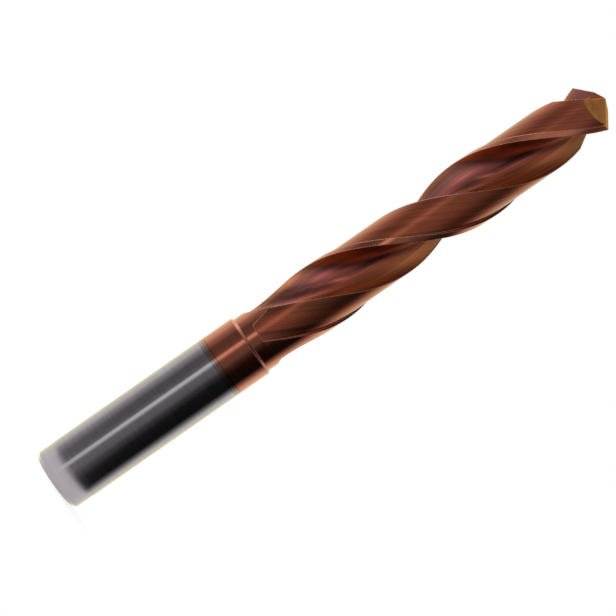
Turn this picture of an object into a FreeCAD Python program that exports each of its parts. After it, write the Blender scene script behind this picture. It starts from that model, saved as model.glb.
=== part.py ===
import FreeCAD, Part

import math
import os

from FreeCAD import Vector

# Solid carbide drill, right-hand cut, two flutes, ground from one rod.
# Origin: centre of the flat shank end. +Z runs along the axis to the point.
# The outer part of each cutting lip lies along X. Lengths in millimetres, angles in degrees.

# Overall
overall_length = 100.0
drill_diameter = 10.0
shank_diameter = 10.0
shank_chamfer = 0.6

# Front of the shank and the neck behind the flutes
shank_length = 35.7
shank_front_slope_length = 0.35
neck_diameter = 9.3
neck_length = 1.8
margin_growth_length = 8.8

# Flutes
flute_length = 61.5
helix_angle = 30.0
flute_width_angle = 92.0
flute_wheel_radius = 35.0
flute_exit_direction = 122.0

# Cutting lips
lip_offset = 0.9
lip_inner_radius = 2.0
point_angle = 120.0
primary_relief = 8.0
secondary_relief = 30.0

# Lands behind the margins
margin_width = 0.9
land_diameter = 9.2
land_entry_length = 4.6
land_entry_angle = 45.0

# Gash that thins the web at the point
gash_turn = 27.0
gash_tilt = 32.0
gash_included_angle = 108.0
gash_corner_radius = 0.25
gash_centre_gap = 0.08

# Modelling helpers
flute_count = 2
section_spacing = 3.0
lip_curve_points = 7
heel_overlap_angle = 5.0
overrun = 2.0

drill_radius = drill_diameter / 2
land_radius = land_diameter / 2
outer_radius = drill_radius + overrun
lead = math.pi * drill_diameter / math.tan(math.radians(helix_angle))
turn_per_mm = 360.0 / lead
lip_slope = 1 / math.tan(math.radians(point_angle / 2))
primary_slope = math.tan(math.radians(primary_relief))
secondary_slope = math.tan(math.radians(secondary_relief))
point = Vector(0, 0, overall_length)
axis = Vector(0, 0, 1)


def polar(radius, angle):
    turn = math.radians(angle)
    return Vector(radius * math.cos(turn), radius * math.sin(turn), 0)


def turned(shape, angle):
    copy = shape.copy()
    copy.rotate(Vector(0, 0, 0), axis, angle)
    return copy


def placed_section(wire, z):
    """A section drawn at the point, carried down the helix to height z."""
    wire.rotate(Vector(0, 0, 0), axis, (z - overall_length) * turn_per_mm)
    wire.translate(axis * z)
    return wire


def helical_cut(section, heights):
    """The solid that a turning section sweeps through the given heights."""
    return Part.makeLoft([placed_section(section(z), z) for z in heights], True, False)


def evenly_spaced(low, high):
    count = math.ceil((high - low) / section_spacing)
    return [low + (high - low) * step / count for step in range(count + 1)]


def blank():
    """The rod ground round, before the flutes."""
    shank = shank_diameter / 2
    neck = neck_diameter / 2
    neck_end = shank_length + neck_length
    outline = [
        (0, 0),
        (shank - shank_chamfer, 0),
        (shank, shank_chamfer),
        (shank, shank_length - shank_front_slope_length),
        (neck, shank_length),
        (neck, neck_end),
        (drill_radius, neck_end + margin_growth_length),
        (drill_radius, overall_length + overrun),
        (0, overall_length + overrun),
        (0, 0),
    ]
    wire = Part.makePolygon([Vector(radius, 0, z) for radius, z in outline])
    return Part.Face(wire).revolve(Vector(0, 0, 0), axis, 360)


def lip_curve_point(radius):
    """A point of the flute's cutting side, in the section at the height of the point.

    The lip is straight and lies on the primary relief plane. Each point of it is carried up
    the helix to the height of the section, so that grinding the point makes a straight lip.
    """
    reach = math.sqrt(radius ** 2 - lip_offset ** 2)
    drop = reach * lip_slope - lip_offset * primary_slope
    ahead = math.degrees(math.asin(lip_offset / radius))
    return polar(radius, ahead + drop * turn_per_mm)


def margin_edge_angle():
    """Angle of the margin's cutting edge, in the section at the height of the point."""
    corner = lip_curve_point(drill_radius)
    return math.degrees(math.atan2(corner.y, corner.x))


def wheel_lift(z):
    """How far the grinding wheel has risen out of the flute at height z."""
    web_radius = lip_curve_point(lip_inner_radius).Length
    depth = drill_radius - web_radius
    full_reach = math.sqrt(2 * flute_wheel_radius * depth - depth ** 2)
    slant = math.cos(math.radians(helix_angle))
    full_depth_height = overall_length - flute_length + full_reach * slant
    reach = max(full_depth_height - z, 0) / slant
    return flute_wheel_radius - math.sqrt(flute_wheel_radius ** 2 - reach ** 2)


def flute_section(z):
    """Closed outline of what the wheel grinds away from one flute, at height z.

    The cutting side follows the lip, and an arc that leaves it smoothly runs up to the heel.
    """
    step = (outer_radius - lip_inner_radius) / (lip_curve_points - 1)
    radii = [lip_inner_radius + step * index for index in range(lip_curve_points)]
    lip_points = [lip_curve_point(radius) for radius in radii]
    lip_curve = Part.BSplineCurve()
    lip_curve.interpolate(lip_points)
    start = lip_points[0]
    heel = polar(land_radius, margin_edge_angle() + flute_width_angle)

    normal = axis.cross(lip_curve.tangent(lip_curve.FirstParameter)[0]).normalize()
    span = heel - start
    arc_radius = span.Length ** 2 / (2 * normal.dot(span))
    centre = start + normal * arc_radius
    past_heel = FreeCAD.Rotation(axis, -math.degrees(overrun / arc_radius))
    heel_end = centre + past_heel.multVec(heel - centre)
    outside = (lip_points[-1] + heel_end).normalize() * outer_radius

    wire = Part.Wire([
        lip_curve.toShape(),
        Part.Arc(lip_points[-1], outside, heel_end).toShape(),
        Part.Arc(heel_end, heel, start).toShape(),
    ])
    wire.translate(polar(wheel_lift(z), flute_exit_direction))
    return wire


def land_section(z):
    """Closed outline of what is ground off one land behind its margin, at height z."""
    margin_angle = math.degrees(margin_width / math.cos(math.radians(helix_angle)) / drill_radius)
    entry_left = 1 - (z - shank_length - neck_length) / land_entry_length
    front = margin_edge_angle() - margin_angle
    heel = margin_edge_angle() + flute_width_angle - 360.0 / flute_count
    back = heel - heel_overlap_angle + land_entry_angle * max(entry_left, 0)
    middle = (front + back) / 2
    return Part.Wire([
        Part.Arc(polar(land_radius, front), polar(land_radius, middle), polar(land_radius, back)).toShape(),
        Part.makeLine(polar(land_radius, back), polar(outer_radius, back)),
        Part.Arc(polar(outer_radius, back), polar(outer_radius, middle), polar(outer_radius, front)).toShape(),
        Part.makeLine(polar(outer_radius, front), polar(land_radius, front)),
    ])


def flute():
    low = overall_length - flute_length - overrun / 2
    return helical_cut(flute_section, evenly_spaced(low, overall_length + overrun / 2))


def land_relief():
    """The relief starts blunt and narrow at the neck and widens until it reaches the heel."""
    start = shank_length + neck_length
    entry_end = start + land_entry_length
    entry = helical_cut(land_section, [start, (start + entry_end) / 2, entry_end])
    rest = helical_cut(land_section, evenly_spaced(entry_end, overall_length + overrun / 2))
    return [entry, rest]


def relief_planes():
    """What is ground away behind one lip, in two planes. The edge between them meets the axis."""
    size = 4 * drill_diameter
    blocks = []
    for slope in (primary_slope, secondary_slope):
        block = Part.makeBox(size, size, size, Vector(-size / 2, -size / 2, 0))
        above = FreeCAD.Rotation(axis, Vector(lip_slope, -slope, 1))
        block.Placement = FreeCAD.Placement(point, above)
        blocks.append(block)
    return blocks


def gash():
    """The groove that thins the web ahead of one lip and carries that lip on to the axis.

    The wheel's corner runs down along the groove. Its side makes the wall under the inner lip,
    and its rim makes the floor that falls away to the heel of the other land.
    """
    tilt = math.radians(gash_tilt)
    opening = math.radians(gash_included_angle)
    outward = polar(1, gash_turn)
    ahead = axis.cross(outward)
    groove = outward * math.sin(tilt) - axis * math.cos(tilt)
    up_wall = outward * math.cos(tilt) + axis * math.sin(tilt)
    up_floor = ahead * math.sin(opening) + up_wall * math.cos(opening)
    corner = point + ahead * gash_centre_gap

    size = 2 * drill_diameter
    setback = gash_corner_radius / math.tan(opening / 2)
    bisector = (up_wall + up_floor).normalize()
    corner_depth = gash_corner_radius / math.sin(opening / 2) - gash_corner_radius
    wall_start = corner + up_wall * setback
    floor_start = corner + up_floor * setback
    section = Part.Face(Part.Wire([
        Part.Arc(wall_start, corner + bisector * corner_depth, floor_start).toShape(),
        Part.makeLine(floor_start, corner + up_floor * size),
        Part.makeLine(corner + up_floor * size, corner + up_wall * size),
        Part.makeLine(corner + up_wall * size, wall_start),
    ]))
    section.translate(groove * -size)
    return section.extrude(groove * 2 * size)


def drill_bit():
    body = blank()
    for cutters in ([flute()], land_relief(), relief_planes(), [gash()]):
        for index in range(flute_count):
            for cutter in cutters:
                body = body.cut(turned(cutter, 360.0 * index / flute_count))
    return body.Solids[0]


os.makedirs("parts", exist_ok=True)
tool = drill_bit()
print("valid", tool.isValid(), "faces", len(tool.Faces), "volume", round(tool.Volume, 2))
tool.exportStep("parts/drill_bit.step")
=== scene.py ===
# %% [markdown]
# # A solid carbide drill bit
#
# The object is one piece of cemented carbide, ground all over with diamond wheels and then coated
# with a thin copper-brown film. Everything that shows its shape is therefore a ground surface: the
# round shank, two helical flutes, two lands that sit a little below the margins, and the point.
#
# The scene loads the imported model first. All measures below are in millimetres and degrees, and
# one factor turns them into Blender's metres.

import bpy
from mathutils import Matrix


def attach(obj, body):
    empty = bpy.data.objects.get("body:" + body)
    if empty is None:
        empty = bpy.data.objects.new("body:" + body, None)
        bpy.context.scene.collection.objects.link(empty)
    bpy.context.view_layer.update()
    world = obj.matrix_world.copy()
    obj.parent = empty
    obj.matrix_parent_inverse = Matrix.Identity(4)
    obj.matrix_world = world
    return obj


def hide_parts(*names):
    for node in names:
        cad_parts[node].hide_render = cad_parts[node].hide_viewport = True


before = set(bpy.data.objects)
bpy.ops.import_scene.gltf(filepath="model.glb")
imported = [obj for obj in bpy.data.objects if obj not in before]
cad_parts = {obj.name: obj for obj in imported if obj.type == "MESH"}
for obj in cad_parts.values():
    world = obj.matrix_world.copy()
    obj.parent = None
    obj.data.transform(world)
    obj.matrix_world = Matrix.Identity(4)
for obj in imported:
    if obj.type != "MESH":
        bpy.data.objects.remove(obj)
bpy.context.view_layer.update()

import math

import bmesh
import bpy
from mathutils import Matrix, Vector

MM = 0.001
scene = bpy.context.scene
scene.view_settings.view_transform = "Standard"

# %% [markdown]
# ## One helper for every node
#
# Shader trees and geometry trees are both built from nodes, so one small function serves them all.
# It adds a node and applies its settings. An input then takes another node, which gives its first
# output, or a certain socket of a node, or a plain value.
#
# Colours are written as they look on a screen, in sRGB, and one function turns them into the linear
# values that a renderer works with.

# %% Add a node with its settings and links
def add(tree, kind, inputs=None, **settings):
    node = tree.nodes.new(kind)
    for name, value in settings.items():
        setattr(node, name, value)
    for key, value in (inputs or {}).items():
        if isinstance(value, bpy.types.Node):
            value = value.outputs[0]
        if isinstance(value, bpy.types.NodeSocket):
            tree.links.new(value, node.inputs[key])
        else:
            node.inputs[key].default_value = value
    return node


def linear(hex_colour):
    """An sRGB colour such as 'C88A66' as the linear RGBA that Blender's sockets expect."""
    channels = [int(hex_colour[start:start + 2], 16) / 255 for start in (0, 2, 4)]
    return tuple(c / 12.92 if c <= 0.04045 else ((c + 0.055) / 1.055) ** 2.4 for c in channels) + (1.0,)


def paint_ramp(ramp, stops):
    """Give a colour ramp its stops, as pairs of position and linear colour, in rising order."""
    elements = ramp.color_ramp.elements
    elements[0].position, elements[0].color = stops[0]
    elements[1].position, elements[1].color = stops[-1]
    for position, colour in stops[1:-1]:
        elements.new(position).color = colour


print("a middle grey is", round(linear("808080")[0], 3), "as a linear value")

# %% [markdown]
# ## The sizes of the tool
#
# They repeat the sizes of the CAD source, because the finely ground surface made here has to lie
# exactly where the CAD surface lies. The helix angle and the diameter give the lead, which is the
# height of one full turn.

# %% Sizes in millimetres and degrees
overall_length = 100.0
drill_radius = 5.0
shank_radius = 5.0
shank_chamfer = 0.6
shank_length = 35.7
shank_front_slope_length = 0.35
neck_radius = 4.65
neck_length = 1.8
margin_growth_length = 8.8

flute_length = 61.5
helix_angle = 30.0
flute_width_angle = 92.0
flute_wheel_radius = 35.0
flute_exit_direction = 122.0

lip_offset = 0.9
lip_inner_radius = 2.0
point_angle = 120.0
primary_relief = 8.0
secondary_relief = 30.0

margin_width = 0.9
land_radius = 4.6
land_entry_length = 4.6
land_entry_angle = 45.0
heel_overlap_angle = 5.0

gash_turn = 27.0
gash_tilt = 32.0
gash_included_angle = 108.0
gash_corner_radius = 0.25
gash_centre_gap = 0.08

overrun = 2.0
outer_radius = drill_radius + overrun
lead = math.pi * 2 * drill_radius / math.tan(math.radians(helix_angle))
turn_per_mm = 2 * math.pi / lead
lip_slope = 1 / math.tan(math.radians(point_angle / 2))
primary_slope = math.tan(math.radians(primary_relief))
secondary_slope = math.tan(math.radians(secondary_relief))
print("lead of the helix:", round(lead, 2), "mm")

# %% [markdown]
# ## The section of a flute
#
# A flute is easiest to understand in the section at the height of the point. Its cutting side has
# to end in a straight lip once the point is ground, so each point of the lip is carried back up
# the helix to that height. These small functions find such points and the arcs between them.

# %% Points and arcs in the section
def polar(radius, angle):
    return Vector((radius * math.cos(angle), radius * math.sin(angle), 0))


def lip_curve_point(radius):
    reach = math.sqrt(radius ** 2 - lip_offset ** 2)
    drop = reach * lip_slope - lip_offset * primary_slope
    return polar(radius, math.asin(lip_offset / radius) + drop * turn_per_mm)


def angle_of(point):
    return math.atan2(point.y, point.x)


def arc(start, middle, end, count):
    """Points on the circle through three points, from start to end, both included."""
    a, b = middle - start, end - start
    cross = a.cross(b)
    towards_centre = a.length_squared * b.cross(cross) + b.length_squared * cross.cross(a)
    centre = start + towards_centre / (2 * cross.length_squared)
    spoke = start - centre
    turn = spoke.angle(middle - centre) + (middle - centre).angle(end - centre)
    axis = cross.normalized()
    return [centre + Matrix.Rotation(turn * step / (count - 1), 3, axis) @ spoke for step in range(count)]


margin_edge_angle = angle_of(lip_curve_point(drill_radius))
heel_angle = margin_edge_angle + math.radians(flute_width_angle)
print("the margin's edge lies at", round(math.degrees(margin_edge_angle), 1), "degrees")

# %% [markdown]
# ## The outline of a flute
#
# The curve that carries the lip starts near the web and runs outwards past the rod. A round arc
# leaves it smoothly at the web and runs out through the heel. A wide arc outside the rod closes the
# loop. It never touches metal, so a few points are enough for it.

# %% The closed outline
lip_steps = 34
arc_steps = 56
outside_steps = 10
small_step = 0.001
lip_curve = [
    lip_curve_point(lip_inner_radius + (outer_radius - lip_inner_radius) * step / (lip_steps - 1))
    for step in range(lip_steps)
]
tangent = (lip_curve_point(lip_inner_radius + small_step) - lip_curve[0]).normalized()
inward = Vector((-tangent.y, tangent.x, 0))
heel = polar(land_radius, heel_angle)
span = heel - lip_curve[0]
arc_radius = span.length_squared / (2 * inward.dot(span))
arc_centre = lip_curve[0] + inward * arc_radius
past_heel = Matrix.Rotation(-overrun / arc_radius, 3, "Z")
heel_end = arc_centre + past_heel @ (heel - arc_centre)
outside = (lip_curve[-1] + heel_end).normalized() * outer_radius
flute_outline = (
    lip_curve
    + arc(lip_curve[-1], outside, heel_end, outside_steps)[1:]
    + arc(heel_end, heel, lip_curve[0], arc_steps)[1:-1]
)
web_radius = min(point.length for point in flute_outline)
print("flute outline:", len(flute_outline), "points, web", round(2 * web_radius, 2), "mm thick")

# %% [markdown]
# ## The section of a land
#
# Behind each margin the land is ground a little lower, so that only the narrow margin touches the
# hole. What is ground off is a thin curved strip between the margin and the heel. Its outer side
# lies outside the rod, so it takes only every third point. Each point also carries a number called
# spread: it is 1 at the heel and 0 at the margin, and it lets the strip start narrow near the neck
# and widen from there.

# %% Points on the outline of what is ground off a land
land_steps = 56
margin_angle = margin_width / math.cos(math.radians(helix_angle)) / drill_radius
land_front = margin_edge_angle - margin_angle
land_back = heel_angle - math.pi - math.radians(heel_overlap_angle)
land_swing = land_back - land_front
land_shares = [step / (land_steps - 1) for step in range(land_steps)]
outer_shares = land_shares[::-3]
land_outline = [polar(land_radius, land_front + land_swing * share) for share in land_shares]
land_outline += [polar(outer_radius, land_front + land_swing * share) for share in outer_shares]
land_spread = land_shares + outer_shares
print("land outline:", len(land_outline), "points")

# %% [markdown]
# ## Meshes from outlines
#
# An outline is stored as a closed loop of edges. Geometry Nodes can then use it as the profile of
# a sweep. The height of the loop doesn't matter, because the sweep gives it one.

# %% Make a mesh and an object from points in millimetres
def mesh_object(name, points, edges=(), faces=()):
    mesh = bpy.data.meshes.new(name)
    mesh.from_pydata([point * MM for point in points], edges, faces)
    item = bpy.data.objects.new(name, mesh)
    scene.collection.objects.link(item)
    return item


def loop_object(name, points):
    count = len(points)
    return mesh_object(name, points, edges=[(index, (index + 1) % count) for index in range(count)])


flute_cut = loop_object("flute_cut", flute_outline)
land_cut = loop_object("land_cut", land_outline)
land_cut.data.attributes.new("spread", "FLOAT", "POINT").data.foreach_set("value", land_spread)
print("outlines:", flute_cut.name, land_cut.name)

# %% [markdown]
# ## Where the grinding lines run
#
# What tells one ground surface from another is the direction of its fine lines. The lines of a flute
# or a land follow the helix. Each point is therefore wound back down the helix, to the place that it
# has in the section at the height of the point. A whole grinding line falls on one spot there, so a
# noise that is looked up at that spot, and stretched along the axis, draws lines that climb with the
# flute, without a seam.

# %% Coordinates for the grinding lines
def place_on_tool(tree):
    return add(tree, "ShaderNodeTexCoord").outputs["Object"]


def place_in_section(tree):
    place = place_on_tool(tree)
    height = add(tree, "ShaderNodeSeparateXYZ", {0: place}).outputs["Z"]
    turn = add(tree, "ShaderNodeMath", {
        0: height, 1: -turn_per_mm / MM, 2: overall_length * turn_per_mm,
    }, operation="MULTIPLY_ADD")
    return add(tree, "ShaderNodeVectorRotate", {"Vector": place, "Angle": turn}, rotation_type="Z_AXIS")


# %% [markdown]
# ## The pattern of the lines
#
# Real grinding lines are a few thousandths of a millimetre apart, far finer than one pixel here, so
# they are drawn as coarse as the render can show. Two noises that are stretched along the lines make
# them. The second is five times as wide as the first, because a wheel also leaves broader tracks.
# Their sum lies around 1, and a finish lets its colour and its gloss follow it by a given share.

# %% Draw the grinding lines
broad_scale = 0.2
fine_detail = 3.0
broad_detail = 2.0
faintest_line = 0.75
strongest_line = 1.25


def grinding_lines(tree, place, stretch, spacing):
    where = add(tree, "ShaderNodeVectorMath", {0: place, 1: stretch}, operation="MULTIPLY")
    fine = add(tree, "ShaderNodeTexNoise", {
        "Vector": where, "Scale": 1 / (spacing * MM), "Detail": fine_detail,
    })
    broad = add(tree, "ShaderNodeTexNoise", {
        "Vector": where, "Scale": broad_scale / (spacing * MM), "Detail": broad_detail,
    })
    return add(tree, "ShaderNodeMath", {0: fine, 1: broad}, operation="ADD")


def around_one(tree, lines, change):
    """A factor that follows the lines from 1 minus the change to 1 plus the change."""
    return add(tree, "ShaderNodeMapRange", {
        "Value": lines, "From Min": faintest_line, "From Max": strongest_line,
        "To Min": 1 - change, "To Max": 1 + change,
    })


# %% [markdown]
# ## Honed edges and a painted highlight
#
# The real edges are honed to a radius of a few hundredths of a millimetre. The Bevel node rounds the
# shading along an edge a little more widely, so that it can be seen. On top of that, a pale colour is mixed
# in along every edge as a painted highlight, standing in for the thin line of light that a honed edge
# catches. The product of the rounded and the true direction is 1 on a face and falls on an edge, which
# tells where the painted highlight belongs.

# %% Find the honed edges and paint a highlight on them
edge_radius = 0.13
levelness_of_face = 0.995
levelness_of_edge = 0.93
# A pale colour painted along each edge as a highlight, the line of light a honed edge catches.
painted_glint_colour = linear("F2C4A0")
painted_glint_share = 0.6


def rounding_and_painted_glint(tree):
    """The rounded direction of the surface, and the share of the painted highlight on an edge."""
    rounded = add(tree, "ShaderNodeBevel", {"Radius": edge_radius * MM}, samples=6)
    true_direction = add(tree, "ShaderNodeNewGeometry").outputs["Normal"]
    levelness = add(tree, "ShaderNodeVectorMath", {0: rounded, 1: true_direction}, operation="DOT_PRODUCT")
    share = add(tree, "ShaderNodeMapRange", {
        "Value": levelness.outputs["Value"], "From Min": levelness_of_face, "From Max": levelness_of_edge,
        "To Max": painted_glint_share,
    })
    return rounded, share


# %% [markdown]
# ## Gloss that follows the lines
#
# Fine lines spread a reflection across themselves and hardly along. In a flute and on a land they
# climb with the helix, so the direction that crosses them is worked out from the lead, and the shader
# stretches its gloss that way.

# %% Direction across the lines of a flute or a land
def across_the_helix(tree):
    round_axis = add(tree, "ShaderNodeVectorMath", {
        0: (0, 0, turn_per_mm / MM), 1: place_on_tool(tree),
    }, operation="CROSS_PRODUCT")
    along_lines = add(tree, "ShaderNodeVectorMath", {0: round_axis, 1: (0, 0, 1)}, operation="ADD")
    true_direction = add(tree, "ShaderNodeNewGeometry").outputs["Normal"]
    return add(tree, "ShaderNodeVectorMath", {0: along_lines, 1: true_direction}, operation="CROSS_PRODUCT")


# %% [markdown]
# ## A ground and coated surface
#
# The tool is cemented carbide, a grey metal, under a hard ceramic film a few thousandths of a
# millimetre thick that is laid on in a vacuum. The film gives the colour of a copper-brown metal, so
# the shader is fully metallic. Seen at a slant the film reflects less blue, and the slant tint lets
# the rims of the tool turn golden in the same way. The film's smooth outer face adds a faint
# colourless reflection on top, which is what the shader's coat does.
#
# The grinding lines shade the colour by the share called streaks, vary the roughness a little and raise the
# surface. Along every edge a pale painted highlight is mixed into the colour. A colour or a roughness may
# be one value, or a function that builds it from the tree and the place.

# %% Build a ground finish
line_relief = 0.004
gloss_change = 0.15
slant_tint = (1.0, 0.96, 0.5, 1.0)


def ground_finish(
    name, place_of, stretch, paint, spacing, streaks, roughness, film, film_roughness=0.3, helical=0.0,
):
    material = bpy.data.materials.new(name)
    material.use_nodes = True
    tree = material.node_tree
    tree.nodes.clear()
    place = place_of(tree)
    lines = grinding_lines(tree, place, stretch, spacing)
    colour = paint(tree, place) if callable(paint) else paint
    base = add(tree, "ShaderNodeMix", {
        0: 1.0, 6: colour, 7: around_one(tree, lines, streaks),
    }, data_type="RGBA", blend_type="MULTIPLY")
    evenly_rough = roughness(tree, place) if callable(roughness) else roughness
    rough = add(tree, "ShaderNodeMath", {
        0: around_one(tree, lines, gloss_change), 1: evenly_rough,
    }, operation="MULTIPLY")
    rounded, glint_share = rounding_and_painted_glint(tree)
    # Along each edge the colour turns towards the pale painted highlight.
    base_with_glint = add(tree, "ShaderNodeMix", {0: glint_share, 6: base.outputs[2], 7: painted_glint_colour}, data_type="RGBA")
    sloped = add(tree, "ShaderNodeBump", {
        "Height": lines, "Strength": streaks, "Distance": line_relief * MM, "Normal": rounded,
    })
    shader = add(tree, "ShaderNodeBsdfPrincipled", {
        "Base Color": base_with_glint.outputs[2], "Metallic": 1.0, "Roughness": rough, "Normal": sloped,
        "Specular Tint": slant_tint, "Coat Weight": film, "Coat Roughness": film_roughness,
        "Coat Normal": sloped,
    })
    if helical:
        tree.links.new(across_the_helix(tree).outputs[0], shader.inputs["Tangent"])
        shader.inputs["Anisotropic"].default_value = helical
    add(tree, "ShaderNodeOutputMaterial", {"Surface": shader})
    return material


# %% [markdown]
# ## The edge of the coating on the shank
#
# The coating ends on the shank where a holder screened it from the vapour. The film thins out there
# within a millimetre or two, and a thin film shows interference colours: the brown breaks up into a few
# fine dark and pale rings before the bare grey carbide begins.
#
# The shank is the smoothest surface of the tool, because a holder has to grip it truly. Its grinding
# lines run round it, so the pattern is stretched across the axis.

# %% Finish of the shank and the neck
coating_colour = linear("BC6548")
carbide_colour = linear("A29AA2")
coating_edge_height = 29.85
coating_fade_length = 1.8


def shank_paint(tree, place):
    height = add(tree, "ShaderNodeSeparateXYZ", {0: place}).outputs["Z"]
    share = add(tree, "ShaderNodeMapRange", {
        "Value": height,
        "From Min": (coating_edge_height - coating_fade_length / 2) * MM,
        "From Max": (coating_edge_height + coating_fade_length / 2) * MM,
    })
    ramp = add(tree, "ShaderNodeValToRGB", {0: share})
    paint_ramp(ramp, [
        (0.0, carbide_colour), (0.22, carbide_colour), (0.3, linear("6E6072")), (0.38, linear("A8988E")),
        (0.5, linear("7C5A58")), (0.6, linear("B9805C")), (0.72, linear("8A4C3C")), (0.9, coating_colour),
        (1.0, coating_colour),
    ])
    return ramp


shank_finish = ground_finish(
    "cylindrically_ground_shank", place_on_tool, stretch=(1 / 40, 1 / 40, 1), paint=shank_paint,
    spacing=0.08, streaks=0.06, roughness=0.11, film=1.0, film_roughness=0.11,
)
print("finish:", shank_finish.name)

# %% [markdown]
# ## The colours across a flute
#
# The colour painted across a flute holds painted shade under the cutting edge and painted light towards the
# heel, and the gloss changes across it too. Both follow one number, the flute share. It is 0 at the
# margin's corner and 1 at the heel, measured round the centre of the flute's arc. The two flutes are alike,
# so the second is folded on to the first by a change of sign.

# %% How far across the flute a place lies
flute_corner = lip_curve_point(drill_radius)
flute_middle = (heel + flute_corner).normalized()
spoke_to_corner = flute_corner - arc_centre
spoke_to_heel = heel - arc_centre
flute_swing = spoke_to_corner.angle(spoke_to_heel)
towards_floor = spoke_to_corner.normalized() + spoke_to_heel.normalized()
print("the flute swings through", round(math.degrees(flute_swing)), "degrees")


def flute_share(tree, place):
    side = add(tree, "ShaderNodeVectorMath", {0: place, 1: flute_middle}, operation="DOT_PRODUCT")
    sign = add(tree, "ShaderNodeMath", {0: side.outputs["Value"]}, operation="SIGN")
    folded = add(tree, "ShaderNodeVectorMath", {0: place, "Scale": sign}, operation="SCALE")
    spoke = add(tree, "ShaderNodeVectorMath", {0: folded, 1: arc_centre * MM}, operation="SUBTRACT")
    levelled = add(tree, "ShaderNodeVectorRotate", {
        "Vector": spoke, "Angle": -angle_of(towards_floor),
    }, rotation_type="Z_AXIS")
    parts = add(tree, "ShaderNodeSeparateXYZ", {0: levelled}).outputs
    swing = add(tree, "ShaderNodeMath", {0: parts["Y"], 1: parts["X"]}, operation="ARCTAN2")
    return add(tree, "ShaderNodeMapRange", {
        "Value": swing, "From Min": flute_swing / 2, "From Max": -flute_swing / 2,
    })


# %% [markdown]
# ## The finish of the flutes
#
# The film's copper-brown is its own colour, and the ramp paints across it. It is orange at the cutting
# edge, and the dark brown just under it is painted shade for the dark valley there. From there it runs over
# mauve and red-brown to a pale orange at the heel, which is painted light on that side. The wheel's corner
# grinds the cutting side finely and its rim grinds the heel side more roughly, so the gloss grows softer
# past the middle.

# %% Finish of the flutes
fine_until = 0.5
rough_from = 0.85
fine_roughness = 0.2
coarse_roughness = 0.4


def flute_roughness(tree, place):
    return add(tree, "ShaderNodeMapRange", {
        "Value": flute_share(tree, place), "From Min": fine_until, "From Max": rough_from,
        "To Min": fine_roughness, "To Max": coarse_roughness,
    })


# Dark brown just under the cutting edge is painted shade, and the pale orange towards the heel is painted
# light.
def flute_painted_shade_and_light(tree, place):
    ramp = add(tree, "ShaderNodeValToRGB", {0: flute_share(tree, place)})
    paint_ramp(ramp, [
        (0.0, linear("B06A40")), (0.08, linear("7C4432")), (0.16, linear("783E36")),
        (0.34, linear("A04E46")), (0.46, linear("A65042")), (0.58, linear("A24C32")),
        (0.68, linear("C06638")), (0.77, linear("EC8A52")), (1.0, linear("F2A86A")),
    ])
    return ramp


flute_finish = ground_finish(
    "ground_flute", place_in_section, stretch=(1, 1, 1 / 60), paint=flute_painted_shade_and_light,
    spacing=0.2, streaks=0.32, roughness=flute_roughness, film=0.7, helical=0.6,
)
print("finish:", flute_finish.name)

# %% [markdown]
# ## The finish of the lands
#
# The vapour reaches a land freely, so its film is an even reddish brown. Its lines climb with the
# helix too, and they show more clearly than those of a flute, because a land hardly curves.

# %% Finish of the lands
land_finish = ground_finish(
    "ground_land", place_in_section, stretch=(1, 1, 1 / 60), paint=linear("A64E2D"),
    spacing=0.2, streaks=0.36, roughness=0.25, film=0.8, film_roughness=0.26, helical=0.55,
)
print("finish:", land_finish.name)

# %% [markdown]
# ## A sweep that follows the helix
#
# This is the rule of the whole tool, so it is the one tree that both grinding cuts share. A straight
# line along the axis is divided into rows and given a tilt that grows with height. Sweeping an
# outline along it winds the outline up the helix. A second step moves each row outwards where the
# grinding wheel leaves the flute, and a third makes what is ground off a land start narrow.

# %% Build the tree of the helical cut
def new_tree(name, sizes):
    tree = bpy.data.node_groups.new(name, "GeometryNodeTree")
    tree.interface.new_socket(name="Geometry", in_out="INPUT", socket_type="NodeSocketGeometry")
    for label, kind in sizes:
        tree.interface.new_socket(name=label, in_out="INPUT", socket_type=kind)
    tree.interface.new_socket(name="Geometry", in_out="OUTPUT", socket_type="NodeSocketGeometry")
    return tree


FLOAT = "NodeSocketFloat"
helix_tree = new_tree("helical_cut", [
    ("Low", FLOAT), ("High", FLOAT), ("Rows", "NodeSocketInt"), ("Turn per Metre", FLOAT),
    ("Point Height", FLOAT), ("Wheel Radius", FLOAT), ("Full Depth Height", FLOAT), ("Wheel Slant", FLOAT),
    ("Exit Direction", FLOAT), ("Entry Start", FLOAT), ("Entry Length", FLOAT), ("Entry Angle", FLOAT),
    ("Finish", "NodeSocketMaterial"),
])
size = add(helix_tree, "NodeGroupInput").outputs
low_end = add(helix_tree, "ShaderNodeCombineXYZ", {"Z": size["Low"]})
high_end = add(helix_tree, "ShaderNodeCombineXYZ", {"Z": size["High"]})
rail = add(helix_tree, "GeometryNodeCurvePrimitiveLine", {"Start": low_end, "End": high_end})
rows = add(helix_tree, "GeometryNodeResampleCurve", {"Curve": rail, "Count": size["Rows"]})
place = add(helix_tree, "GeometryNodeInputPosition")
height = add(helix_tree, "ShaderNodeSeparateXYZ", {0: place}).outputs["Z"]
above_point = add(helix_tree, "ShaderNodeMath", {0: height, 1: size["Point Height"]}, operation="SUBTRACT")
turn = add(helix_tree, "ShaderNodeMath", {0: above_point, 1: size["Turn per Metre"]}, operation="MULTIPLY")
wound = add(helix_tree, "GeometryNodeSetCurveTilt", {"Curve": rows, "Tilt": turn})
profile = add(helix_tree, "GeometryNodeMeshToCurve", {"Mesh": size["Geometry"]})
swept = add(helix_tree, "GeometryNodeCurveToMesh", {
    "Curve": wound, "Profile Curve": profile, "Fill Caps": True,
})

# %% [markdown]
# ## The wheel rises out of the flute
#
# At its shank end the flute runs out, because the round grinding wheel lifts off there. The wheel
# moves on a circle, so below the height of full depth each row is pushed outwards by the rise of
# that circle's arc.

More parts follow.
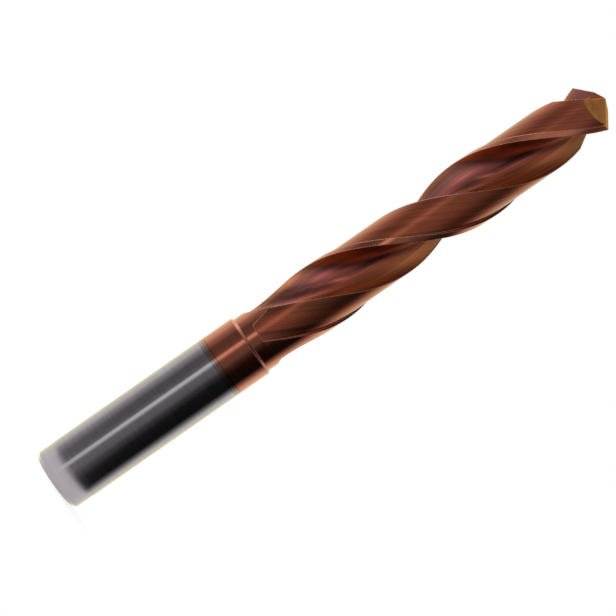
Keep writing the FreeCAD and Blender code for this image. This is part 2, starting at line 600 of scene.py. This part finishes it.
# %% Lift the rows where the wheel leaves
short_by = add(helix_tree, "ShaderNodeMath", {
    0: size["Full Depth Height"], 1: height,
}, operation="SUBTRACT")
run_out = add(helix_tree, "ShaderNodeMath", {0: short_by, 1: 0.0}, operation="MAXIMUM")
reach = add(helix_tree, "ShaderNodeMath", {0: run_out, 1: size["Wheel Slant"]}, operation="DIVIDE")
reach_squared = add(helix_tree, "ShaderNodeMath", {0: reach, 1: 2.0}, operation="POWER")
wheel_squared = add(helix_tree, "ShaderNodeMath", {0: size["Wheel Radius"], 1: 2.0}, operation="POWER")
left_squared = add(helix_tree, "ShaderNodeMath", {0: wheel_squared, 1: reach_squared}, operation="SUBTRACT")
left = add(helix_tree, "ShaderNodeMath", {0: left_squared}, operation="SQRT")
lift = add(helix_tree, "ShaderNodeMath", {0: size["Wheel Radius"], 1: left}, operation="SUBTRACT")
exit_angle = add(helix_tree, "ShaderNodeMath", {0: size["Exit Direction"], 1: turn}, operation="ADD")
outwards = add(helix_tree, "ShaderNodeCombineXYZ", {"X": lift})
offset = add(helix_tree, "ShaderNodeVectorRotate", {
    "Vector": outwards, "Angle": exit_angle,
}, rotation_type="Z_AXIS")
lifted = add(helix_tree, "GeometryNodeSetPosition", {"Geometry": swept, "Offset": offset})

# %% [markdown]
# ## The narrow start of a land
#
# The spread of each outline point decides how far the narrow start turns it back. The tree ends with
# the two nodes that make its result a real mesh with a finish.

# %% Narrow the start and close the tree
past_start = add(helix_tree, "ShaderNodeMath", {0: height, 1: size["Entry Start"]}, operation="SUBTRACT")
entered = add(helix_tree, "ShaderNodeMath", {0: past_start, 1: size["Entry Length"]}, operation="DIVIDE")
not_entered = add(helix_tree, "ShaderNodeMath", {0: 1.0, 1: entered}, operation="SUBTRACT")
entry_left = add(helix_tree, "ShaderNodeMath", {0: not_entered, 1: 0.0}, operation="MAXIMUM")
held_back = add(helix_tree, "ShaderNodeMath", {0: entry_left, 1: size["Entry Angle"]}, operation="MULTIPLY")
spread = add(helix_tree, "GeometryNodeInputNamedAttribute", {"Name": "spread"}, data_type="FLOAT")
turned_back = add(helix_tree, "ShaderNodeMath", {0: held_back, 1: spread}, operation="MULTIPLY")
spread_place = add(helix_tree, "ShaderNodeVectorRotate", {
    "Vector": place, "Angle": turned_back,
}, rotation_type="Z_AXIS")
narrowed = add(helix_tree, "GeometryNodeSetPosition", {"Geometry": lifted, "Position": spread_place})
realized = add(helix_tree, "GeometryNodeRealizeInstances", {"Geometry": narrowed})
finished = add(helix_tree, "GeometryNodeSetMaterial", {"Geometry": realized, "Material": size["Finish"]})
add(helix_tree, "NodeGroupOutput", {"Geometry": finished})
print("helical cut:", len(helix_tree.nodes), "nodes")

# %% [markdown]
# ## Run a tree and keep the plain mesh
#
# A modifier's inputs are set by their identifiers before the object is evaluated for the first
# time. The result is copied into a plain mesh, and the modifier is removed.

# %% Bake a tree into a mesh
def bake(item, tree, values):
    modifier = item.modifiers.new("shape", "NODES")
    modifier.node_group = tree
    for socket in tree.interface.items_tree:
        if socket.in_out == "INPUT" and socket.name in values:
            modifier[socket.identifier] = values[socket.name]
    bpy.context.view_layer.update()
    evaluated = item.evaluated_get(bpy.context.evaluated_depsgraph_get())
    mesh = bpy.data.meshes.new_from_object(evaluated)
    item.modifiers.remove(modifier)
    item.data = mesh


# %% [markdown]
# ## Make the two helical cutters
#
# Both cutters take the same tree with the same lead. The flute's cutter starts where the wheel leaves
# the rod and has no narrow start. The land's cutter starts at the neck and never rises, so its height
# of full depth is set to the bottom.

# %% Sweep the flute and the land
row_height = 0.36
wheel_slant = math.cos(math.radians(helix_angle))
flute_depth = drill_radius - lip_inner_radius
full_reach = math.sqrt(2 * flute_wheel_radius * flute_depth - flute_depth ** 2)
full_depth_height = overall_length - flute_length + full_reach * wheel_slant
helix_sizes = {
    "Turn per Metre": turn_per_mm / MM,
    "Point Height": overall_length * MM,
    "High": (overall_length + overrun / 2) * MM,
    "Wheel Radius": flute_wheel_radius * MM,
    "Full Depth Height": full_depth_height * MM,
    "Wheel Slant": wheel_slant,
    "Exit Direction": math.radians(flute_exit_direction),
    "Entry Start": (shank_length + neck_length) * MM,
    "Entry Length": land_entry_length * MM,
}
flute_low = overall_length - flute_length - overrun / 2
bake(flute_cut, helix_tree, helix_sizes | {
    "Low": flute_low * MM,
    "Rows": round((overall_length + overrun / 2 - flute_low) / row_height),
    "Entry Angle": 0.0,
    "Finish": flute_finish,
})
land_low = shank_length + neck_length
bake(land_cut, helix_tree, helix_sizes | {
    "Low": land_low * MM,
    "Rows": round((overall_length + overrun / 2 - land_low) / row_height),
    "Full Depth Height": 0.0,
    "Entry Angle": math.radians(land_entry_angle),
    "Finish": land_finish,
})
print("flute cut:", len(flute_cut.data.polygons), "faces, land cut:", len(land_cut.data.polygons), "faces")

# %% [markdown]
# ## The rod before grinding
#
# The rod is a body of revolution: a chamfered shank, a neck with a little less diameter, and the part
# that will be fluted. That part gets many short rings, because thin strips of it remain as the margins
# and they have to shade smoothly.

# %% Outline of the rod
body_ring_height = 0.7


def rod_outline():
    neck_end = shank_length + neck_length
    full_height = neck_end + margin_growth_length
    outline = [
        (0.0, 0.0),
        (shank_radius - shank_chamfer, 0.0),
        (shank_radius, shank_chamfer),
        (shank_radius, shank_length - shank_front_slope_length),
        (neck_radius, shank_length),
        (neck_radius, neck_end),
    ]
    steps = math.ceil(margin_growth_length / body_ring_height)
    for step in range(1, steps + 1):
        share = step / steps
        outline.append((
            neck_radius + (drill_radius - neck_radius) * share,
            neck_end + margin_growth_length * share,
        ))
    straight_length = overall_length + overrun - full_height
    steps = math.ceil(straight_length / body_ring_height)
    for step in range(1, steps + 1):
        outline.append((drill_radius, full_height + straight_length * step / steps))
    outline.append((0.0, overall_length + overrun))
    return outline


print("rod outline:", len(rod_outline()), "points")

# %% [markdown]
# ## Turn the rod
#
# Each point of the outline gives one ring of corners round the axis, and the rings are joined by
# four-sided faces. At both ends a fan of triangles closes the rod.

# %% Turn an outline round the axis
ring_steps = 240


def lathe(name, outline):
    """A closed body of revolution. Its first and last outline points lie on the axis."""
    points = [Vector((0, 0, outline[0][1]))]
    for radius, height_mm in outline[1:-1]:
        for step in range(ring_steps):
            angle = 2 * math.pi * step / ring_steps
            points.append(Vector((radius * math.cos(angle), radius * math.sin(angle), height_mm)))
    points.append(Vector((0, 0, outline[-1][1])))
    ring_count = len(outline) - 2
    last = len(points) - 1
    faces = []
    for step in range(ring_steps):
        following = (step + 1) % ring_steps
        faces.append((0, 1 + following, 1 + step))
        top = 1 + (ring_count - 1) * ring_steps
        faces.append((last, top + step, top + following))
        for ring in range(ring_count - 1):
            base = 1 + ring * ring_steps
            above = base + ring_steps
            faces.append((base + step, base + following, above + following, above + step))
    return mesh_object(name, points, faces=faces)


rod = lathe("ground_carbide_drill", rod_outline())
rod.data.materials.append(shank_finish)
print("rod:", len(rod.data.polygons), "faces")

# %% [markdown]
# ## The cuts at the point
#
# Each lip has two relief planes, and each plane is the lower face of a block that takes away all
# that stands above it. The flanks are ground last and lie square to the vapour, so they have the most
# golden film of the tool and a dull gloss. Their lines run along the lip.

# %% Make the relief blocks
point = Vector((0, 0, overall_length))
flank_finish = ground_finish(
    "ground_flank", place_on_tool, stretch=(1 / 40, 1, 1), paint=linear("C47A42"),
    spacing=0.2, streaks=0.25, roughness=0.36, film=0.2,
)


def plane_block(name, normal, finish):
    """A block that stands on the plane through the point with this normal."""
    reach = 2 * drill_radius
    turn_up = Vector((0, 0, 1)).rotation_difference(normal).to_matrix()
    corners = [Vector((x, y, z)) for z in (0, 2 * reach) for y in (-reach, reach) for x in (-reach, reach)]
    faces = [(0, 2, 3, 1), (4, 5, 7, 6), (0, 1, 5, 4), (2, 6, 7, 3), (0, 4, 6, 2), (1, 3, 7, 5)]
    block = mesh_object(name, [point + turn_up @ corner for corner in corners], faces=faces)
    block.data.materials.append(finish)
    return block


primary_block = plane_block("primary_relief", Vector((lip_slope, -primary_slope, 1)), flank_finish)
secondary_block = plane_block("secondary_relief", Vector((lip_slope, -secondary_slope, 1)), flank_finish)
print("relief blocks:", primary_block.name, secondary_block.name)

# %% [markdown]
# ## The gash
#
# The gash is a groove with a V section and a rounded corner. It thins the web and carries the lip on
# to the axis. One side of the V becomes the wall under the inner lip, and the other falls away
# towards the heel.

# %% Make the groove of the gash
tilt = math.radians(gash_tilt)
opening = math.radians(gash_included_angle)
outward = polar(1, math.radians(gash_turn))
ahead = Vector((0, 0, 1)).cross(outward)
groove = outward * math.sin(tilt) - Vector((0, 0, math.cos(tilt)))
up_wall = outward * math.cos(tilt) + Vector((0, 0, math.sin(tilt)))
up_floor = ahead * math.sin(opening) + up_wall * math.cos(opening)
corner = point + ahead * gash_centre_gap
setback = gash_corner_radius / math.tan(opening / 2)
corner_depth = gash_corner_radius / math.sin(opening / 2) - gash_corner_radius
bisector = (up_wall + up_floor).normalized()
corner_points = 9
groove_size = 3 * drill_radius
groove_outline = arc(
    corner + up_wall * setback,
    corner + bisector * corner_depth,
    corner + up_floor * setback,
    corner_points,
) + [corner + up_floor * groove_size, corner + up_wall * groove_size]
count = len(groove_outline)
gash_cut = mesh_object(
    "gash_cut",
    [p - groove * groove_size for p in groove_outline] + [p + groove * groove_size for p in groove_outline],
    faces=[tuple(range(count)), tuple(range(2 * count - 1, count - 1, -1))]
    + [(i, i + count, (i + 1) % count + count, (i + 1) % count) for i in range(count)],
)
print("groove:", count, "points in its section")

# %% [markdown]
# ## The finish of the gash
#
# The gash is deep and narrow, so less vapour reaches it, and its film is a plain brown. Its lines run
# along the groove. The place is therefore turned until the groove lies along X, and the pattern is
# stretched that way.

# %% Finish of the gash
lines_turn = groove.rotation_difference(Vector((1, 0, 0)))


def place_in_gash(tree):
    return add(tree, "ShaderNodeVectorRotate", {
        "Vector": place_on_tool(tree), "Axis": lines_turn.axis, "Angle": lines_turn.angle,
    })


gash_finish = ground_finish(
    "ground_gash", place_in_gash, stretch=(1 / 40, 1, 1), paint=linear("B8623A"),
    spacing=0.2, streaks=0.2, roughness=0.3, film=0.3,
)
gash_cut.data.materials.append(gash_finish)
print("finishes:", flank_finish.name, gash_finish.name)

# %% [markdown]
# ## Face directions of the cutters
#
# A cut only works if every cutter is a closed shell whose faces point outwards. Corners that lie on
# the same spot are welded first.

# %% Close the cutters and point their faces outwards
weld_distance = 0.0001


def tidy_shell(item):
    shell = bmesh.new()
    shell.from_mesh(item.data)
    bmesh.ops.remove_doubles(shell, verts=shell.verts, dist=weld_distance * MM)
    bmesh.ops.recalc_face_normals(shell, faces=shell.faces)
    open_edges = sum(not edge.is_manifold for edge in shell.edges)
    shell.to_mesh(item.data)
    shell.free()
    print(item.name, "open edges:", open_edges)


for item in (rod, flute_cut, land_cut, primary_block, secondary_block, gash_cut):
    tidy_shell(item)

# %% [markdown]
# ## Grind the rod
#
# The second tree does what the grinding machine does. It takes each cutter, makes a second copy
# half a turn further round, and subtracts both from the rod. Edges sharper than 20 degrees stay
# sharp in the shading and everything else is smooth. Faces that come from a cutter keep the finish
# of that cutter, and only the faces of the rod get the finish that the tree sets at its end.
# Realizing the result before that makes it one plain mesh.

# %% Build the grinding tree
grinding = new_tree("grinding", [
    ("Flute", "NodeSocketObject"), ("Land", "NodeSocketObject"), ("Primary Relief", "NodeSocketObject"),
    ("Secondary Relief", "NodeSocketObject"), ("Gash", "NodeSocketObject"),
    ("Sharp Angle", FLOAT), ("Finish", "NodeSocketMaterial"),
])
given = add(grinding, "NodeGroupInput").outputs
body = given["Geometry"]
for cutter in ("Flute", "Land", "Primary Relief", "Secondary Relief", "Gash"):
    tool = add(grinding, "GeometryNodeObjectInfo", {"Object": given[cutter]}).outputs["Geometry"]
    opposite = add(grinding, "GeometryNodeTransform", {"Geometry": tool, "Rotation": (0, 0, math.pi)})
    for cut in (tool, opposite):
        body = add(grinding, "GeometryNodeMeshBoolean", {
            "Mesh 1": body, "Mesh 2": cut,
        }, operation="DIFFERENCE", solver="MANIFOLD")
edge_angle = add(grinding, "GeometryNodeInputMeshEdgeAngle")
is_smooth = add(grinding, "FunctionNodeCompare", {
    "A": edge_angle, "B": given["Sharp Angle"],
}, operation="LESS_THAN")
shaded = add(grinding, "GeometryNodeSetShadeSmooth", {
    "Geometry": body, "Shade Smooth": is_smooth,
}, domain="EDGE")
whole = add(grinding, "GeometryNodeRealizeInstances", {"Geometry": shaded})
finish_number = add(grinding, "GeometryNodeInputMaterialIndex")
from_rod = add(grinding, "FunctionNodeCompare", {
    2: finish_number, 3: 0,
}, data_type="INT", operation="EQUAL")
coated = add(grinding, "GeometryNodeSetMaterial", {
    "Geometry": whole, "Selection": from_rod, "Material": given["Finish"],
})
add(grinding, "NodeGroupOutput", {"Geometry": coated})
print("grinding:", len(grinding.nodes), "nodes")

# %% [markdown]
# ## Run the grinding tree
#
# The rod becomes the drill, as on the machine. The cutters have done their work afterwards and are
# removed.

# %% Grind the drill
sharp_angle = 20.0
drill = rod
bake(drill, grinding, {
    "Flute": flute_cut, "Land": land_cut, "Primary Relief": primary_block,
    "Secondary Relief": secondary_block, "Gash": gash_cut,
    "Sharp Angle": math.radians(sharp_angle), "Finish": shank_finish,
})
drill.data.name = drill.name
for cutter in (flute_cut, land_cut, primary_block, secondary_block, gash_cut):
    bpy.data.objects.remove(cutter)
print("drill:", len(drill.data.polygons), "faces,", [m.name for m in drill.data.materials])

# %% [markdown]
# ## Give the piece its place in the frame
#
# The tool has no moving parts, so the piece rides on the only body. It stands for the CAD solid,
# which stays in the physics model.

# %% Ride on the body and replace the CAD solid
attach(drill, "root")
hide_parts("drill_bit")
print("piece:", drill.name)

# %% [markdown]
# ## Camera
#
# The photo looks square on to the axis from close by, with the camera rolled so that the tool runs
# from the lower left to the upper right. The camera's place follows from five measured things: the
# scale in pixels for a millimetre, the distance, the roll, how far round the tool the camera stands,
# and where it looks. Places along and across the axis are in pixels, counted from a spot near the
# middle of the fluted part.

# %% Place the camera
image_width = 616
pixels_per_mm = 6.70
camera_distance = 359.5
roll = math.radians(34.85)
camera_round = math.radians(135.4)
point_along = 246.4
centre_along = -117.4
centre_across = -2.04

towards_camera = Vector((math.cos(camera_round), math.sin(camera_round), 0))
across = Vector((math.sin(camera_round), -math.cos(camera_round), 0))
along = Vector((0, 0, 1))
right = along * math.cos(roll) - across * math.sin(roll)
up = along * math.sin(roll) + across * math.cos(roll)
aim_height = overall_length - (point_along - centre_along) / pixels_per_mm
aim = along * aim_height + across * (centre_across / pixels_per_mm)

camera = bpy.data.objects.new("camera", bpy.data.cameras.new("camera"))
camera.data.lens = camera.data.sensor_width * camera_distance / (image_width / pixels_per_mm)
camera.data.clip_start = 0.01
camera.matrix_world = Matrix.Translation((aim + towards_camera * camera_distance) * MM) @ Matrix(
    (right, up, towards_camera)
).transposed().to_4x4()
scene.collection.objects.link(camera)
scene.camera = camera
print("lens:", round(camera.data.lens, 1), "mm")

# %% [markdown]
# ## Light
#
# A polished metal shows its surroundings, so the light is made of surroundings. Behind the tool is
# a white backdrop, which is why both sides of the round shank fade to white. In front of it is a dim
# room, and beside that a dark area that gives the deep shadow side of the shank.
#
# The world draws this as brightness against the angle round the tool, in degrees, where 0 is the
# camera's side and both ends are the backdrop. There are five bands, from the ground up. A bright
# table lights the flutes from below. At eye level a narrow window gives the pale line along the
# shank, the neck and the lands. Above that the room is evenly dim, and the highest band has a
# bright ceiling towards the backdrop, which lights the walls of the gash at the point.

# %% Five bands of surroundings
def grey(level):
    return (level, level, level, 1.0)


world = bpy.data.worlds.new("studio")
scene.world = world
world.use_nodes = True
tree = world.node_tree
tree.nodes.clear()
direction = add(tree, "ShaderNodeTexCoord").outputs["Generated"]
to_camera = add(tree, "ShaderNodeVectorMath", {0: direction, 1: towards_camera}, operation="DOT_PRODUCT")
to_side = add(tree, "ShaderNodeVectorMath", {0: direction, 1: across}, operation="DOT_PRODUCT")
angle = add(tree, "ShaderNodeMath", {
    0: to_side.outputs["Value"], 1: to_camera.outputs["Value"],
}, operation="ARCTAN2")
share = add(tree, "ShaderNodeMapRange", {"Value": angle, "From Min": -math.pi, "From Max": math.pi})
near_ground = [
    (-180, 1.0), (-125, 0.8), (-100, 0.08), (-45, 0.06), (-34, 0.25), (-20, 0.8), (0, 1.3), (15, 1.4),
    (28, 1.4), (42, 1.15), (57, 0.95), (85, 0.9), (110, 1.0), (180, 1.0),
]
low_down = [
    (-180, 1.0), (-125, 0.8), (-100, 0.1), (-70, 0.04), (-47, 0.1), (-26, 0.42), (-5, 0.42), (20, 0.4),
    (36, 0.38), (50, 0.45), (75, 0.65), (100, 0.6), (130, 1.0), (180, 1.0),
]
eye_level = [
    (-180, 1.0), (-122, 1.0), (-98, 0.2), (-86, 0.01), (-38, 0.012), (-20, 0.07), (-8, 0.2), (14, 0.26),
    (20, 0.75), (23, 1.1), (29, 1.1), (34, 0.25), (50, 0.16), (70, 0.16), (96, 0.5), (115, 0.95),
    (140, 1.0), (180, 1.0),
]
above_eye = [
    (-180, 1.0), (-122, 0.8), (-98, 0.2), (-76, 0.12), (-56, 0.16), (-40, 0.45), (-22, 0.66), (10, 0.6),
    (45, 0.46), (70, 0.3), (96, 0.6), (115, 0.95), (135, 1.0), (180, 1.0),
]
high_up = [
    (-180, 1.0), (-125, 0.6), (-98, 0.16), (-76, 0.12), (-50, 0.38), (-20, 0.36), (0, 0.28), (16, 0.2),
    (36, 0.18), (46, 0.24), (70, 0.35), (82, 1.0), (96, 1.4), (130, 1.4), (150, 1.0), (180, 1.0),
]
bands = []
for room in (near_ground, low_down, eye_level, above_eye, high_up):
    ramp = add(tree, "ShaderNodeValToRGB", {0: share})
    paint_ramp(ramp, [((degrees + 180) / 360, grey(level)) for degrees, level in room])
    bands.append(ramp.outputs[0])
print("bands:", len(bands))

# %% [markdown]
# ## Join the bands
#
# The height of a direction is 0 at eye level, -1 straight down and 1 straight up. Between two bands the
# world blends one into the next. Far above and far below the tool the backdrop has ended and the room
# is dim. The camera itself sees plain white, so that the background stays white from every side.

# %% Finish the world
height = add(tree, "ShaderNodeSeparateXYZ", {0: direction}).outputs["Z"]
band_joins = [(-0.48, -0.28), (-0.22, -0.08), (0.03, 0.13), (0.15, 0.24)]
around = bands[0]
for (low, high), band in zip(band_joins, bands[1:]):
    risen = add(tree, "ShaderNodeMapRange", {
        "Value": height, "From Min": low, "From Max": high,
    }, interpolation_type="SMOOTHSTEP")
    around = add(tree, "ShaderNodeMix", {0: risen, 6: around, 7: band}, data_type="RGBA").outputs[2]
level = add(tree, "ShaderNodeMapRange", {"Value": height, "From Min": -1.0, "From Max": 1.0})
reach_of_backdrop = add(tree, "ShaderNodeValToRGB", {0: level})
paint_ramp(reach_of_backdrop, [
    (0.0, grey(0.2)), (0.1, grey(0.4)), (0.2, grey(1)),
    (0.85, grey(1)), (0.93, grey(0.4)), (1.0, grey(0.4)),
])
dimmed = add(tree, "ShaderNodeMix", {
    0: 1.0, 6: around, 7: reach_of_backdrop,
}, data_type="RGBA", blend_type="MULTIPLY")
seen = add(tree, "ShaderNodeLightPath").outputs["Is Camera Ray"]
shown = add(tree, "ShaderNodeMix", {0: seen, 6: dimmed.outputs[2], 7: grey(1)}, data_type="RGBA")
background = add(tree, "ShaderNodeBackground", {0: shown.outputs[2]})
add(tree, "ShaderNodeOutputWorld", {"Surface": background})
print("world:", len(tree.nodes), "nodes")

# %% [markdown]
# ## Floor
#
# The tool stands on a small round sheet of white paper. The dim room alone would leave the paper
# grey, so the camera and the metal see it with a part of its whiteness as a glow. The rest is
# the light that falls on it, and there the tool's soft shadow stays.

# %% Floor
floor_radius = 30.0
floor_drop = 0.02
rim_steps = 96
paper_glow = 0.7
down = Vector((0, 0, floor_drop))
rim = [polar(floor_radius, 2 * math.pi * step / rim_steps) - down for step in range(rim_steps)]
floor = mesh_object("floor", rim, faces=[tuple(range(rim_steps))])
paper_finish = bpy.data.materials.new("white_paper")
paper_finish.use_nodes = True
tree = paper_finish.node_tree
tree.nodes.clear()
rays = add(tree, "ShaderNodeLightPath").outputs
camera_or_gloss = add(tree, "ShaderNodeMath", {
    0: rays["Is Camera Ray"], 1: rays["Is Glossy Ray"],
}, operation="MAXIMUM")
sees_glow = add(tree, "ShaderNodeMath", {
    0: camera_or_gloss, 1: rays["Is Transmission Ray"],
}, operation="MAXIMUM")
glow_level = add(tree, "ShaderNodeMath", {0: sees_glow, 1: paper_glow}, operation="MULTIPLY")
glow = add(tree, "ShaderNodeEmission", {"Strength": glow_level})
paper = add(tree, "ShaderNodeBsdfDiffuse", {"Color": linear("F2F2F2")})
both = add(tree, "ShaderNodeAddShader", {0: paper, 1: glow})
add(tree, "ShaderNodeOutputMaterial", {"Surface": both})
floor.data.materials.append(paper_finish)
print("floor:", 2 * floor_radius, "mm across")
